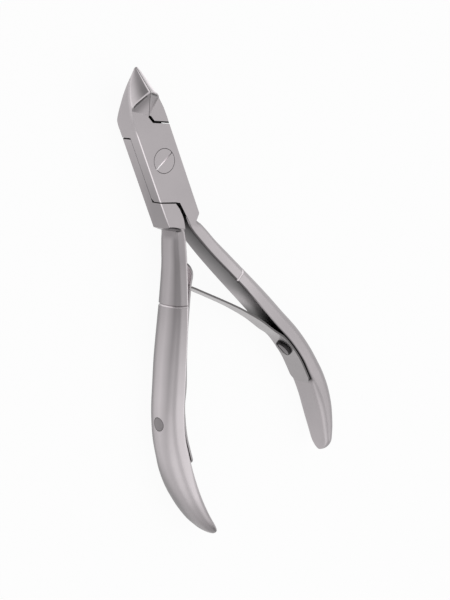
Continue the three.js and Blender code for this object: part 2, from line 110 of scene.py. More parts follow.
def loftSections(sections):
    # closed skin: a circle takes the first section's shape and is extruded through the others
    bm = bmesh.new()
    count = len(sections[0])
    ring = bmesh.ops.create_circle(bm, cap_ends=True, segments=count, radius=1)["verts"]
    for vert, place in zip(ring, sections[0]):
        vert.co = place
    edges = list(bm.edges)
    for section in sections[1:]:
        made = bmesh.ops.extrude_edge_only(bm, edges=edges)["geom"]
        fresh = {v for v in made if isinstance(v, bmesh.types.BMVert)}
        edges = [e for e in made if isinstance(e, bmesh.types.BMEdge)]
        ring = [next(e.other_vert(v) for e in v.link_edges if e.other_vert(v) in fresh) for v in ring]
        for vert, place in zip(ring, section):
            vert.co = place
    bmesh.ops.contextual_create(bm, geom=edges)
    bmesh.ops.recalc_face_normals(bm, faces=bm.faces)
    return bm


def raiseOutline(points, low, high):
    # an outline in XY, raised from one height to another
    bm = bmesh.new()
    corners = [bmesh.ops.create_vert(bm, co=(x, y, low))["vert"][0] for x, y in points]
    base = bmesh.ops.contextual_create(bm, geom=corners)["faces"]
    top = bmesh.ops.extrude_face_region(bm, geom=base)["geom"]
    raised = [v for v in top if isinstance(v, bmesh.types.BMVert)]
    bmesh.ops.translate(bm, verts=raised, vec=(0, 0, high - low))
    bmesh.ops.recalc_face_normals(bm, faces=bm.faces)
    return bm


def placeAt(point, turn, axis="Z"):
    return Matrix.Translation(point) @ Matrix.Rotation(turn, 4, axis)


def squareBar(length, width, height, place):
    bm = bmesh.new()
    bmesh.ops.create_cube(bm, size=1)
    bmesh.ops.scale(bm, verts=bm.verts, vec=(length, width, height))
    bmesh.ops.transform(bm, matrix=place, verts=bm.verts)
    return bm


def roundBar(radius, length, place):
    bm = bmesh.new()
    bmesh.ops.create_cone(bm, cap_ends=True, segments=turned["barSegments"], radius1=radius, radius2=radius,
                          depth=length)
    bmesh.ops.transform(bm, matrix=place, verts=bm.verts)
    return bm


def turnProfile(profile, place):
    # profile rows are radius and height on the local Z axis, closed on the axis
    bm = bmesh.new()
    line = [bmesh.ops.create_vert(bm, co=(radius, 0, height))["vert"][0] for radius, height in profile]
    edges = [bm.edges.new(pair) for pair in zip(line, line[1:])]
    bmesh.ops.spin(bm, geom=line + edges, cent=(0, 0, 0), axis=(0, 0, 1), angle=math.tau,
                   steps=turned["profileSegments"], use_merge=True)
    bmesh.ops.remove_doubles(bm, verts=bm.verts, dist=turned["weldReach"])
    bmesh.ops.recalc_face_normals(bm, faces=bm.faces)
    bmesh.ops.transform(bm, matrix=place, verts=bm.verts)
    return bm


def asObject(shape, name="part"):
    if isinstance(shape, bpy.types.Object):
        return shape
    mesh = bpy.data.meshes.new(name)
    shape.to_mesh(mesh)
    shape.free()
    body = bpy.data.objects.new(name, mesh)
    bpy.context.scene.collection.objects.link(body)
    return body


def applySteps(body):
    shaped = body.evaluated_get(bpy.context.evaluated_depsgraph_get())
    result = bpy.data.meshes.new_from_object(shaped)
    body.modifiers.clear()
    body.data = result


def joinSolids(body, operation, *tools):
    # UNION, DIFFERENCE or INTERSECT of a body with each tool in turn
    body = asObject(body)
    for tool in tools:
        cutter = asObject(tool, "tool")
        step = body.modifiers.new("solid", "BOOLEAN")
        step.operation = operation
        step.solver = "EXACT"
        step.object = cutter
        applySteps(body)
        bpy.data.objects.remove(cutter)
    return body


finish = {
    "mergeReach": 0.0004, "shortestEdge": 0.0002, "sharpAngle": 30,
    "blockSharpAngle": 8, "blockEndY": -17, "flatFacing": 0.9995,
}


def finishPiece(body, name, steel):
    # cleans the mesh, marks its sharp edges and brings it to metres
    body.name = name
    bm = bmesh.new()
    bm.from_mesh(body.data)
    bmesh.ops.remove_doubles(bm, verts=bm.verts, dist=finish["mergeReach"])
    bmesh.ops.dissolve_degenerate(bm, edges=bm.edges, dist=finish["shortestEdge"])
    bmesh.ops.triangulate(bm, faces=[f for f in bm.faces if len(f.verts) > 4])
    bm.normal_update()
    for face in bm.faces:
        face.smooth = True
    for edge in bm.edges:
        turn = math.degrees(edge.calc_face_angle(0))
        facings = [abs(part) for face in edge.link_faces for part in (face.normal.x, face.normal.z)]
        flat = max(facings, default=0) > finish["flatFacing"]
        onBlock = min(vert.co.y for vert in edge.verts) > finish["blockEndY"]
        edge.smooth = turn < finish["blockSharpAngle" if flat and onBlock else "sharpAngle"]
    bmesh.ops.scale(bm, verts=bm.verts, vec=[1 / millimetres] * 3)
    bm.to_mesh(body.data)
    bm.free()
    body.data.materials.clear()
    body.data.materials.append(steel)
    evenNormals = body.modifiers.new("evenNormals", "WEIGHTED_NORMAL")
    evenNormals.keep_sharp = True
    applySteps(body)
    body.data.name = name
    return body


# Steels


class Value:
    # a socket that takes part in sums
    def __init__(self, sheet, socket):
        self.sheet = sheet
        self.socket = socket

    def sum(self, operation, first, second):
        return self.sheet.node("ShaderNodeMath", {"operation": operation}, {0: first, 1: second})

    def __add__(self, other):
        return self.sum("ADD", self, other)

    def __radd__(self, other):
        return self.sum("ADD", other, self)

    def __sub__(self, other):
        return self.sum("SUBTRACT", self, other)

    def __mul__(self, other):
        return self.sum("MULTIPLY", self, other)


class Sheet:
    # the node sheet of one material or world
    def __init__(self, tree):
        self.tree = tree
        tree.nodes.clear()

    def node(self, kind, settings=None, sockets=None, output=0):
        made = self.tree.nodes.new(kind)
        for key, value in (settings or {}).items():
            setattr(made, key, value)
        for key, value in (sockets or {}).items():
            if isinstance(value, Value):
                self.tree.links.new(value.socket, made.inputs[key])
            else:
                made.inputs[key].default_value = value
        return Value(self, made.outputs[output]) if len(made.outputs) else None

    def mixColours(self, factor, first, second):
        return self.node("ShaderNodeMix", {"data_type": "RGBA"}, {0: factor, 6: first, 7: second}, output=2)


def satinSteel(name, look):
    material = bpy.data.materials.new(name)
    material.use_nodes = True
    sheet = Sheet(material.node_tree)
    place = sheet.node("ShaderNodeTexCoord", output="Object")
    brushed = sheet.node("ShaderNodeMapping", sockets={"Vector": place, "Scale": look["grainStretch"]})
    grain, patches = (sheet.node("ShaderNodeTexNoise", sockets={
        "Vector": vector, "Scale": look[kind + "Scale"], "Detail": look[kind + "Detail"],
        "Roughness": look[kind + "Breakup"]}) for kind, vector in (("grain", brushed), ("patch", place)))
    # the colour is scaled by painted light and shade, a per-corner value standing in for shadows, dark
    # reflections and highlights
    paintedLightAndShade = sheet.node("ShaderNodeAttribute", {"attribute_name": "paintedLightAndShade"}, output="Fac")
    patched = sheet.mixColours(patches, (*look["colour"], 1), (*look["patchColour"], 1))
    shaded = sheet.node("ShaderNodeVectorMath", {"operation": "SCALE"}, {0: patched, 3: paintedLightAndShade})
    roughness = look["roughness"] + (grain - 0.5) * look["grainGloss"] + (patches - 0.5) * look["patchGloss"]
    edges = sheet.node("ShaderNodeBevel", {"samples": look["edgeSamples"]}, {"Radius": look["edgeRadius"]})
    relief = sheet.node("ShaderNodeBump", sockets={
        "Height": grain, "Normal": edges, "Strength": look["grainBump"], "Distance": look["grainDepth"]})
    shader = sheet.node("ShaderNodeBsdfPrincipled", sockets={
        "Base Color": shaded, "Metallic": 1.0, "Roughness": roughness, "Normal": relief})
    sheet.node("ShaderNodeOutputMaterial", sockets={"Surface": shader})
    return material


armFinish = {
    "colour": (0.312, 0.291, 0.299), "patchColour": (0.286, 0.268, 0.276),
    "roughness": 0.36, "grainGloss": 0.1, "patchGloss": 0.06, "grainStretch": (1.0, 0.12, 1.0),
    "grainScale": 5200.0, "grainDetail": 4.0, "grainBreakup": 0.6, "grainBump": 0.08, "grainDepth": 0.00002,
    "patchScale": 130.0, "patchDetail": 3.0, "patchBreakup": 0.5, "edgeRadius": 0.00006, "edgeSamples": 6,
}
leafFinish = dict(armFinish, colour=(0.32, 0.305, 0.31), patchColour=(0.30, 0.285, 0.29), roughness=0.33,
                  edgeRadius=0.00005)
screwFinish = dict(armFinish, roughness=0.34, grainStretch=(1.0, 1.0, 1.0))
armSteel = satinSteel("satinSteel", armFinish)
springSteel = satinSteel("springSteel", leafFinish)
screwSteel = satinSteel("screwSteel", screwFinish)
print("steels made")

# Handles

handle = {
    "reach": 92.9, "spread": 20.5, "thickness": 5.78, "breadth": 9.4,
    "stations": 90, "stationEase": 0.9, "outerPoints": 40, "edgePoints": 11,
    "endShare": 0.955, "endThick": 0.335, "endBroad": 0.08,
    "roundness": (2.8, 2.3), "settle": (0.19, 0.38), "soften": (0.6, 0.84),
    "crownPlace": (0.5, 0.38), "edgeRise": (0.86, 0.52), "edgeRoundness": (5.0, 2.1),
    "rightTrim": 1.35, "markReach": {-1: 34.2, 1: 35.2}, "markWidth": 0.55, "markDepth": 0.3, "markLip": 0.4,
}
# shares: of the reach along, of the spread to the inner face, of the thickness, of the breadth,
# of the joint's thickness up to the middle, and of half the breadth by which the outer side leans forward
handleRows = (
    (0.131, 0.044, 0.397, 0.660, 0.500, 0.000), (0.175, 0.039, 0.440, 0.681, 0.507, 0.031),
    (0.194, 0.044, 0.569, 0.691, 0.515, 0.062), (0.210, 0.063, 0.621, 0.702, 0.522, 0.091),
    (0.237, 0.107, 0.647, 0.729, 0.533, 0.088), (0.269, 0.162, 0.655, 0.766, 0.542, 0.083),
    (0.301, 0.222, 0.686, 0.814, 0.545, 0.078), (0.344, 0.310, 0.707, 0.894, 0.546, 0.060),
    (0.388, 0.400, 0.733, 0.947, 0.546, 0.022), (0.431, 0.488, 0.767, 0.968, 0.545, -0.033),
    (0.495, 0.619, 0.810, 0.968, 0.522, -0.092), (0.560, 0.746, 0.836, 0.957, 0.485, -0.100),
    (0.624, 0.873, 0.853, 0.947, 0.466, -0.112), (0.689, 0.956, 0.905, 0.947, 0.452, -0.124),
    (0.743, 0.983, 0.983, 0.963, 0.455, -0.115), (0.775, 0.995, 1.000, 0.995, 0.452, -0.096),
    (0.818, 0.998, 0.983, 1.005, 0.433, -0.042), (0.861, 0.995, 0.888, 0.989, 0.403, 0.022),
    (0.893, 0.985, 0.802, 0.936, 0.396, 0.023), (0.926, 0.968, 0.698, 0.840, 0.410, 0.025),
    (0.953, 0.949, 0.560, 0.755, 0.440, 0.000), (0.974, 0.929, 0.466, 0.670, 0.463, 0.000),
    (1.000, 0.902, 0.345, 0.596, 0.478, 0.000),
)


def handlePoint(share):
    return Vector((tableValue(handleRows, 1, share) * handle["spread"], -share * handle["reach"]))


def lastShare(side):
    # the right handle ends a little short of the left one
    return 1 - handle["rightTrim"] / handle["reach"] if side > 0 else 1


def handleFrame(share, last=1):
    step = 0.002
    inner = handlePoint(share)
    ahead = min(share + step, 1)
    along = (handlePoint(ahead) - handlePoint(ahead - 2 * step)).normalized()
    past = max(0, share - handle["endShare"]) / (last - handle["endShare"])
    fade = math.sqrt(max(0, 1 - past**2))
    thick = (tableValue(handleRows, 2, share) * handle["thickness"]
             * (handle["endThick"] + (1 - handle["endThick"]) * fade))
    halfBroad = tableValue(handleRows, 3, share) * handle["breadth"] / 2 * max(fade, handle["endBroad"])
    return {"inner": inner, "outward": Vector((-along.y, along.x)), "thick": thick, "halfBroad": halfBroad,
            "height": tableValue(handleRows, 4, share) * joint["thickness"],
            "crest": tableValue(handleRows, 5, share) * halfBroad}


def handleSection(side, share, shrink=0.0):
    # a flat inner face and a round outer side
    at = handleFrame(share, lastShare(side))
    settle = easeBetween(*handle["settle"], share)
    soften = easeBetween(*handle["soften"], share)
    power = 2 / between(handle["roundness"], settle)

    def place(out, up):
        flat = at["inner"] + at["outward"] * out
        return Vector((side * flat.x, flat.y, at["height"] + up + at["crest"] * min(1, out / at["thick"])))

    crown, rise, roundness = (between(handle[key], change) for key, change in (
        ("crownPlace", settle), ("edgeRise", soften), ("edgeRoundness", soften)))
    half, crown = at["halfBroad"] - shrink, crown * at["thick"]
    section = []
    for k in range(handle["outerPoints"] + 1):
        angle = math.pi * (k / handle["outerPoints"] - 0.5)
        out = (at["thick"] - crown - shrink) * abs(math.cos(angle)) ** power
        up = half * math.copysign(abs(math.sin(angle)) ** power, math.sin(angle))
        section.append(place(crown + out, up))
    edge = []
    for k in range(1, handle["edgePoints"] + 1):
        angle = math.pi / 2 * k / handle["edgePoints"]
        edge.append((crown * (1 - math.sin(angle) ** (2 / roundness)) - abs(shrink),
                     half * (rise + (1 - rise) * max(math.cos(angle), 0) ** (2 / roundness))))
    section += [place(out, up) for out, up in edge]
    section += [place(out, -up) for out, up in reversed(edge)]
    return section


def handleBody(side):
    first = handleRows[0][0]
    sections = []
    for i in range(handle["stations"] + 1):
        run = math.sin(i / handle["stations"] * math.pi / 2) ** handle["stationEase"]
        sections.append(handleSection(side, between((first, lastShare(side)), run)))
    return loftSections(sections)


def handleMark(side):
    share = handle["markReach"][side] / handle["reach"]
    half = handle["markWidth"] / handle["reach"] / 2
    lip = -handle["markDepth"] * handle["markLip"]
    outer = [(-1, -overrun), (1, -overrun)]
    inner = [(-2, lip), (0, handle["markDepth"]), (2, lip)]
    ring, core = (loftSections([handleSection(side, share + step * half, shrink) for step, shrink in rows])
                  for rows in (outer, inner))
    return joinSolids(ring, "DIFFERENCE", core)


# Joint and jaws

joint = {
    "thickness": 6.7, "halfWidth": 4.65, "lapGap": 0.11, "edgeChamfer": 0.2, "backEdgeChamfer": 0.12,
    "shoulderSideY": 7.2, "shoulderInner": (0.36, 9.33), "wedgeTop": (0.64, 11.95),
    "shoulderGap": {1: 0.6, -1: 0.4}, "shoulderClearance": {1: 0.18, -1: 0.39}, "shoulderRelief": 0.3,
    "wedgeGap": 0.58,
    "footSideY": -8.4, "footInner": (0.6, -10.25), "footGap": 0.3, "footChamfer": 0.8,
    "blockEndY": -15.4, "notch": (3.5, -16.5), "forkReach": 12, "forkSpread": 2.4,
    "scoopPlace": (3.55, -16.0), "scoopTilt": 30, "scoopHalf": (2.3, 0.62, 0.9), "scoopRise": 0.35,
    "scoopSegments": (48, 40),
    "rampPlace": (0.77, -17.0), "rampSlope": 32, "rampSize": 10,
    "plateFork": ((0.055, 0.15), (0.15, 0.225), (0.325, 0.35), (0.49, 0.475), (0.66, 0.62)),
    "rootFork": ((0.025, 0.32), (0.17, 0.1), (0.3, 0.04), (0.39, 0.04), (0.5, 0.13), (0.64, 0.32)),
}
jaw = {
    "tipReach": 23.2, "heelReach": 17.3, "heelHeight": 10.6, "tipHeight": 8.05, "neckStart": 11.3,
    "seamX": 0.06, "lipSlant": 0.6, "neckPitch": 0.65, "neckFall": 0.84, "hollowDepth": 0.42,
    "hollowRise": 4, "grooveDepth": 0.45, "grooveWidth": 0.4, "grooveLead": 0.5, "sideBulge": 0.22,
    "bulgeRise": 4, "bulgeFall": 3,
    "neckStations": 34, "bladeStations": 36, "sidePoints": 7, "facePoints": 26,
}
# station between the neck's start and the tip, then shares of half width and thickness:
# back corner across and up, back at the seam up, ridge across and up
jawRows = (
    (0.000, 1.000, 0.000, 0.000, 1.000, 1.000), (0.250, 0.955, 0.000, 0.144, 0.950, 1.000),
    (0.350, 0.860, 0.085, 0.285, 0.905, 1.020), (0.430, 0.770, 0.180, 0.376, 0.875, 1.035),
    (0.504, 0.685, 0.278, 0.466, 0.838, 1.042), (0.577, 0.602, 0.378, 0.562, 0.785, 1.028),
    (0.642, 0.527, 0.476, 0.648, 0.715, 1.012), (0.706, 0.453, 0.581, 0.742, 0.640, 1.008),
    (0.769, 0.383, 0.692, 0.844, 0.560, 1.016), (0.829, 0.313, 0.812, 0.946, 0.468, 1.034),
    (0.890, 0.243, 0.940, 1.043, 0.368, 1.064), (0.950, 0.160, 1.060, 1.128, 0.248, 1.108),
    (1.000, 0.070, 1.150, 1.181, 0.115, 1.178),
)


def mirrored(points, side):
    return points if side > 0 else [(-x, y) for x, y in reversed(points)]


def forkEdge(shares):
    return [(-x * joint["forkSpread"], joint["footInner"][1] - y * joint["forkReach"]) for y, x in shares]


def plateOutline(side):
    wide, seam = joint["halfWidth"], jaw["seamX"]
    (innerX, innerY), (wedgeX, wedgeY) = joint["shoulderInner"], joint["wedgeTop"]
    return mirrored([
        (-wide, joint["shoulderSideY"]), (-wide, joint["blockEndY"]), (-joint["notch"][0], joint["notch"][1]),
        *reversed(forkEdge(joint["plateFork"])), joint["footInner"], (wide, joint["footSideY"]),
        (wide, innerY), (wedgeX + seam, wedgeY), (wedgeX, wedgeY), (-innerX, innerY)], side)


def jawRootOutline(side, gap):
    wide, seam, wedge = joint["halfWidth"], jaw["seamX"], joint["wedgeGap"]
    innerX, innerY = joint["shoulderInner"]
    topY = joint["wedgeTop"][1]
    return mirrored([
        (wide, joint["shoulderSideY"] + gap), (wide, innerY), (seam, topY + wedge), (seam, topY - wedge / 2),
        (innerX, topY - wedge), (innerX + wedge, innerY + gap / 2)], side)


def handleRootOutline(side):
    wide = joint["halfWidth"]
    return mirrored([
        (-wide, joint["footSideY"] - joint["footGap"]), (-wide, joint["blockEndY"]),
        (-joint["notch"][0], joint["notch"][1]), *reversed(forkEdge(joint["rootFork"]))], side)


def footBar(side):
    # breaks the plate's foot edge on the lap face
    (innerX, innerY), wide, sideY = joint["footInner"], joint["halfWidth"], joint["footSideY"]
    width = joint["footChamfer"] * math.sqrt(2)
    slope = side * math.atan2(sideY - innerY, wide - innerX)
    place = placeAt((side * (wide + innerX) / 2, (sideY + innerY) / 2, joint["thickness"] / 2), slope)
    return squareBar(2 * wide + overrun, width, width, place @ Matrix.Rotation(math.pi / 4, 4, "X"))


def rampBar(side):
    # slopes the end of the handle's root down into the handle
    x, y = joint["rampPlace"]
    size, height = joint["rampSize"], joint["thickness"] if side > 0 else 0
    place = (placeAt((-side * x, y, height), -side * math.radians(joint["scoopTilt"]))
             @ Matrix.Rotation(side * math.radians(joint["rampSlope"]), 4, "X")
             @ Matrix.Translation((0, -size / 2, side * size / 2)))
    return squareBar(2 * size, size, size, place)


def jointBlock(side):
    top, middle, lap = joint["thickness"], joint["thickness"] / 2, joint["lapGap"]
    relief = joint["shoulderRelief"]
    own = (0, middle - lap / 2) if side > 0 else (middle + lap / 2, top)
    other = (middle - lap, top) if side > 0 else (0, middle + lap)
    ledge = (0, top - relief) if side > 0 else (relief, top)
    plate = joinSolids(raiseOutline(plateOutline(side), *own), "DIFFERENCE", footBar(side))
    return joinSolids(
        plate, "UNION",
        raiseOutline(jawRootOutline(side, joint["shoulderGap"][side]), 0, top),
        raiseOutline(jawRootOutline(side, joint["shoulderClearance"][side]), *ledge),
        joinSolids(raiseOutline(handleRootOutline(side), *other), "DIFFERENCE", rampBar(side)))


def jawShare(station):
    return (station - jaw["neckStart"]) / (jaw["tipReach"] - jaw["neckStart"])


def jawSection(side, station, frontHeight):
    share = jawShare(station)
    backX, ridgeX = (tableValue(jawRows, column, share) * joint["halfWidth"] for column in (1, 4))
    backZ, seamZ, ridgeZ = (tableValue(jawRows, column, share) * joint["thickness"] for column in (2, 3, 5))
    bulge = jaw["sideBulge"] * min(1, (1 - share) * jaw["bulgeFall"]) * min(1, share * jaw["bulgeRise"])

    def place(x, z):
        return Vector((side * x, station - jaw["lipSlant"] * x, z))

    section = [place(jaw["seamX"], seamZ), place(backX, backZ)]
    for k in range(1, jaw["sidePoints"] + 1):
        t = k / (jaw["sidePoints"] + 1)
        section.append(place(between((backX, ridgeX), t) + bulge * arch(t), between((backZ, ridgeZ), t)))
    for k in range(jaw["facePoints"] + 1):
        t = k / jaw["facePoints"]
        x = between((ridgeX, jaw["seamX"]), t)
        section.append(place(x, frontHeight(t, x, ridgeZ)))
    return section


def neckHeight(station, depth):
    # neck facets fall from the seam to the sides and run out into the flat front
    top = joint["thickness"]
    seamHeight = top + jaw["neckPitch"] * (station - jaw["neckStart"])

    def height(t, x, ridgeZ):
        facet = seamHeight - jaw["neckFall"] * x - depth * arch(t)
        return max(top, min(ridgeZ, facet)) if t == 0 else max(top, facet)
    return height


def bladeHeight(station, depth):
    # the hollow-ground blade face sags between the ridge and the cutting edge
    share = (station - jaw["heelReach"]) / (jaw["tipReach"] - jaw["heelReach"])
    edgeZ = between((jaw["heelHeight"], jaw["tipHeight"]), share)
    return lambda t, x, ridgeZ: between((ridgeZ, edgeZ), t) - depth * arch(t)


def jawBody(side):
    heel, tip = jaw["heelReach"], jaw["tipReach"]
    neckEnd = heel - jaw["grooveWidth"] - jaw["grooveLead"]
    sections = []
    for k in range(jaw["neckStations"] + 1):
        station = jaw["neckStart"] + (neckEnd - jaw["neckStart"]) * k / jaw["neckStations"]
        sections.append(jawSection(side, station, neckHeight(station, 0)))
    groove = heel - jaw["grooveWidth"]
    sections.append(jawSection(side, groove, neckHeight(groove, jaw["grooveDepth"])))
    for k in range(jaw["bladeStations"] + 1):
        t = k / jaw["bladeStations"]
        depth = jaw["hollowDepth"] * min(1, t * jaw["hollowRise"]) * (1 - t)
        station = between((heel, tip), t)
        sections.append(jawSection(side, station, bladeHeight(station, depth)))
    return loftSections(sections)


def edgeBars():
    # bars that break the long edges of the joint block
    low, high = joint["blockEndY"] - overrun, joint["shoulderInner"][1] + overrun
    bars = []
    for sideX in (-1, 1):
        for height, chamfer in ((0, joint["backEdgeChamfer"]), (joint["thickness"], joint["edgeChamfer"])):
            width = chamfer * math.sqrt(2)
            place = placeAt((sideX * joint["halfWidth"], (low + high) / 2, height), math.pi / 4, "Y")
            bars.append(squareBar(width, high - low, width, place))
    return bars


def scoopPlace(side):
    # the oval scoop at the shoulder's end, in front on the rear arm and behind on the front arm
    x, y = joint["scoopPlace"]
    height = joint["thickness"] + joint["scoopRise"] if side > 0 else -joint["scoopRise"]
    place = placeAt((-side * x, y, height), -side * math.radians(joint["scoopTilt"]))
    return place @ Matrix.Diagonal((*joint["scoopHalf"], 1))


def scoopBall(side):
    # the ball's poles lie at the scoop's ends
    around, along = joint["scoopSegments"]
    bm = bmesh.new()
    bmesh.ops.create_uvsphere(bm, u_segments=around, v_segments=along, radius=1)
    bmesh.ops.transform(bm, matrix=scoopPlace(side) @ Matrix.Rotation(math.pi / 2, 4, "Y"), verts=bm.verts)
    return bm


# Screws

pivot = {
    "headRadius": 2.85, "headHeight": 1.9, "shankRadius": 2, "clearance": 0.06,
    "slotWidth": 0.28, "slotDepth": 0.25, "slotAngle": 20, "rimBreak": 0.05,
}
springScrew = {
    "reach": 60.1, "headRadius": 2.3, "headHeight": 0.95, "headEdge": 0.3, "shankRadius": 1.6,
    "clearance": 0.12, "slotWidth": 0.45, "slotDepth": 0.4, "seatLift": 1.5, "crownRise": (0.04, 0.02),
    "edgeSteps": 5,
}


def pivotBody(grow, end, rim):
    # rim is the small break of the head's edge, or of the edge of the hole that it lies in
    top = joint["thickness"]
    seat = top - pivot["headHeight"] - grow
    shank, head = pivot["shankRadius"] + grow, pivot["headRadius"] + grow
    profile = [(0, -end), (shank, -end), (shank, seat), (head, seat),
               (head, top - abs(rim)), (head - rim, top)]
    if end:
        profile.append((head - rim, top + end))
    return turnProfile([*profile, (0, top + end)], Matrix.Identity(4))


def pivotScrewBody():
    place = placeAt((0, 0, joint["thickness"]), math.radians(pivot["slotAngle"]))
    slot = squareBar(2 * pivot["headRadius"] + overrun, pivot["slotWidth"], 2 * pivot["slotDepth"], place)
    return joinSolids(pivotBody(0, 0, pivot["rimBreak"]), "DIFFERENCE", slot)


def screwPlace(side):
    # local Z runs out through the handle, square to its inner face
    at = handleFrame(springScrew["reach"] / handle["reach"])
    out = Vector((side * at["outward"].x, at["outward"].y, 0))
    turn = Vector((0, 0, 1)).rotation_difference(out).to_matrix().to_4x4()
    place = Matrix.Translation((side * at["inner"].x, at["inner"].y, joint["thickness"] / 2))
    return place @ turn, at["thick"]


def screwBore(side):
    place, thick = screwPlace(side)
    return roundBar(springScrew["shankRadius"] + springScrew["clearance"], 2 * thick + 2 * overrun, place)


def headSeat():
    # where the screw's head rests on the leaf, on the screw's local Z
    return -(springScrew["seatLift"] * leaf["seatGap"] + leaf["thickness"])


def springScrewBody(side):
    place, thick = screwPlace(side)
    radius, edge, shank = springScrew["headRadius"], springScrew["headEdge"], springScrew["shankRadius"]
    middleRise, outerRise = springScrew["crownRise"]
    seat = headSeat()
    top = seat - springScrew["headHeight"]
    crown = [(0, top - middleRise), (radius / 2, top - outerRise), (radius - 2 * edge, top + edge / 3)]
    for k in range(1, springScrew["edgeSteps"] + 1):
        angle = math.pi / 2 * k / springScrew["edgeSteps"]
        crown.append((radius - 2 * edge * (1 - math.sin(angle)),
                      top + 2 * edge - 5 * edge / 3 * math.cos(angle)))
    head = turnProfile([*crown, (radius, seat), (shank, seat), (shank, overrun), (0, overrun)], place)
    bar = roundBar(shank, thick + overrun, place @ Matrix.Translation((0, 0, (thick + overrun) / 2)))
    flush = joinSolids(bar, "INTERSECT", handleBody(side))
    slot = squareBar(springScrew["slotWidth"], 2 * radius + overrun, 2 * springScrew["slotDepth"],
                     place @ Matrix.Translation((0, 0, top)))
    return joinSolids(joinSolids(head, "UNION", flush), "DIFFERENCE", slot)


# Leaf springs

leaf = {
    "thickness": 0.45, "seatGap": 0.12, "footWidth": 7.3, "tipWidth": 6.1, "footLead": 8.8, "footRound": 1.8,
    "liftLead": 1.8, "tongueWidth": 1.3, "tongueLength": 1.3, "hookWidth": 2.8, "hookLength": 0.4,
    "windowWidth": 1.9, "windowLength": 2, "tipLeast": 0.3, "hookStep": 0.02,
    "footSteps": 4, "pathSteps": 40, "stations": 110, "endShare": 0.04, "endStations": 12, "tipStations": 14,
}
# free part, from where the leaf lifts: share of the lift's reach, share of the way out to the handle
rightLeafRows = ((0.950, 0.932), (0.868, 0.855), (0.782, 0.689), (0.731, 0.534), (0.686, 0.345),
                 (0.643, 0.110), (0.606, -0.151), (0.572, -0.455), (0.547, -0.749), (0.535, -0.921))
leftLeafRows = ((0.930, 0.945), (0.821, 0.931), (0.725, 0.906), (0.655, 0.863), (0.588, 0.788),
                (0.546, 0.711), (0.511, 0.568), (0.484, 0.524), (0.457, 0.563))
# share of the leaf's length, share of the way from the tip's width to the foot's
leafWidthRows = ((0, 1), (0.2, 1), (0.34, 0.75), (0.42, 0.5), (0.53, 0.3), (0.68, 0.22), (0.8, 0.18), (1, 0))


def footReach():
    return springScrew["reach"] + springScrew["headRadius"] + leaf["footLead"]


def leafPath(rows):
    # closely spaced points of the leaf's middle line, with the distance run at each
    foot, steps = footReach(), leaf["pathSteps"]
    lift = springScrew["reach"] - springScrew["headRadius"] - leaf["liftLead"]
    points = []
    for k in range(leaf["footSteps"] + 1):
        at = handleFrame((foot + (lift - foot) * k / leaf["footSteps"]) / handle["reach"])
        points.append(at["inner"] - at["outward"] * (leaf["seatGap"] + leaf["thickness"] / 2))
    for along, across in rows:
        flat = handlePoint(along * lift / handle["reach"])
        points.append(Vector((across * flat.x, flat.y)))
    path = []
    for i in range(len(points) - 1):
        p0, p1, p2, p3 = points[max(i - 1, 0)], points[i], points[i + 1], points[min(i + 2, len(points) - 1)]
        for k in range(steps):
            t = k / steps
            path.append(0.5 * ((2 * p1) + (p2 - p0) * t + (2 * p0 - 5 * p1 + 4 * p2 - p3) * t**2
                               + (3 * p1 - p0 - 3 * p2 + p3) * t**3))
    path.append(points[-1])
    runs = [0.0]
    for a, b in zip(path, path[1:]):
        runs.append(runs[-1] + (b - a).length)
    return path, runs


def pathAt(path, runs, share):
    run = share * runs[-1]
    i = 0
    while i < len(runs) - 2 and runs[i + 1] <= run:
        i += 1
    t = (run - runs[i]) / (runs[i + 1] - runs[i])
    before, after = path[max(i - 2, 0)], path[min(i + 3, len(path) - 1)]
    return path[i].lerp(path[i + 1], t), (after - before).normalized()


def leafStrip(side, path, runs, widthAt, shares):
    sections = []
    for share in shares:
        point, along = pathAt(path, runs, share)
        out = Vector((-along.y, along.x)) * leaf["thickness"] / 2
        half = widthAt(share) / 2
        middle = joint["thickness"] / 2
        sections.append([Vector((side * (point.x + a * out.x), point.y + a * out.y, middle + b * half))
                         for a, b in ((1, 1), (1, -1), (-1, -1), (-1, 1))])
    return loftSections(sections)


def leafWidth(length):
    def width(share):
        wide = between((leaf["tipWidth"], leaf["footWidth"]), tableValue(leafWidthRows, 1, share))
        rest = max(0, leaf["footRound"] - share * length)
        return wide - 2 * (leaf["footRound"] - math.sqrt(leaf["footRound"] ** 2 - rest**2))
    return width


def evenShares(low, high, count):
    return [low + (high - low) * k / count for k in range(count + 1)]


def leafShares(last):
    # shares of the leaf's length up to the last, closer together at the foot's round end
    near = leaf["endShare"]
    return evenShares(0, near, leaf["endStations"]) + evenShares(near, last, leaf["stations"])[1:]


def rightLeafBody():
    path, runs = leafPath(rightLeafRows)
    length = runs[-1]
    width = leafWidth(length)
    hookStart = 1 - leaf["hookLength"] / length
    tongueStart = hookStart - leaf["tongueLength"] / length
    step = leaf["hookStep"] / length

    def widthAt(share):
        if share <= tongueStart:
            return width(share)
        return leaf["tongueWidth"] if share <= hookStart else leaf["hookWidth"]

    shares = leafShares(tongueStart) + [tongueStart + step, hookStart, hookStart + step, 1]
    return joinSolids(leafStrip(1, path, runs, widthAt, shares), "DIFFERENCE", screwBore(1))


def leafWindow():
    path, runs = leafPath(rightLeafRows)
    middle = 1 - (leaf["hookLength"] + leaf["tongueLength"] / 2) / runs[-1]
    point, along = pathAt(path, runs, middle)
    place = placeAt((point.x, point.y, joint["thickness"] / 2), math.atan2(along.y, along.x))
    return squareBar(leaf["tongueLength"], leaf["windowLength"], leaf["windowWidth"], place)


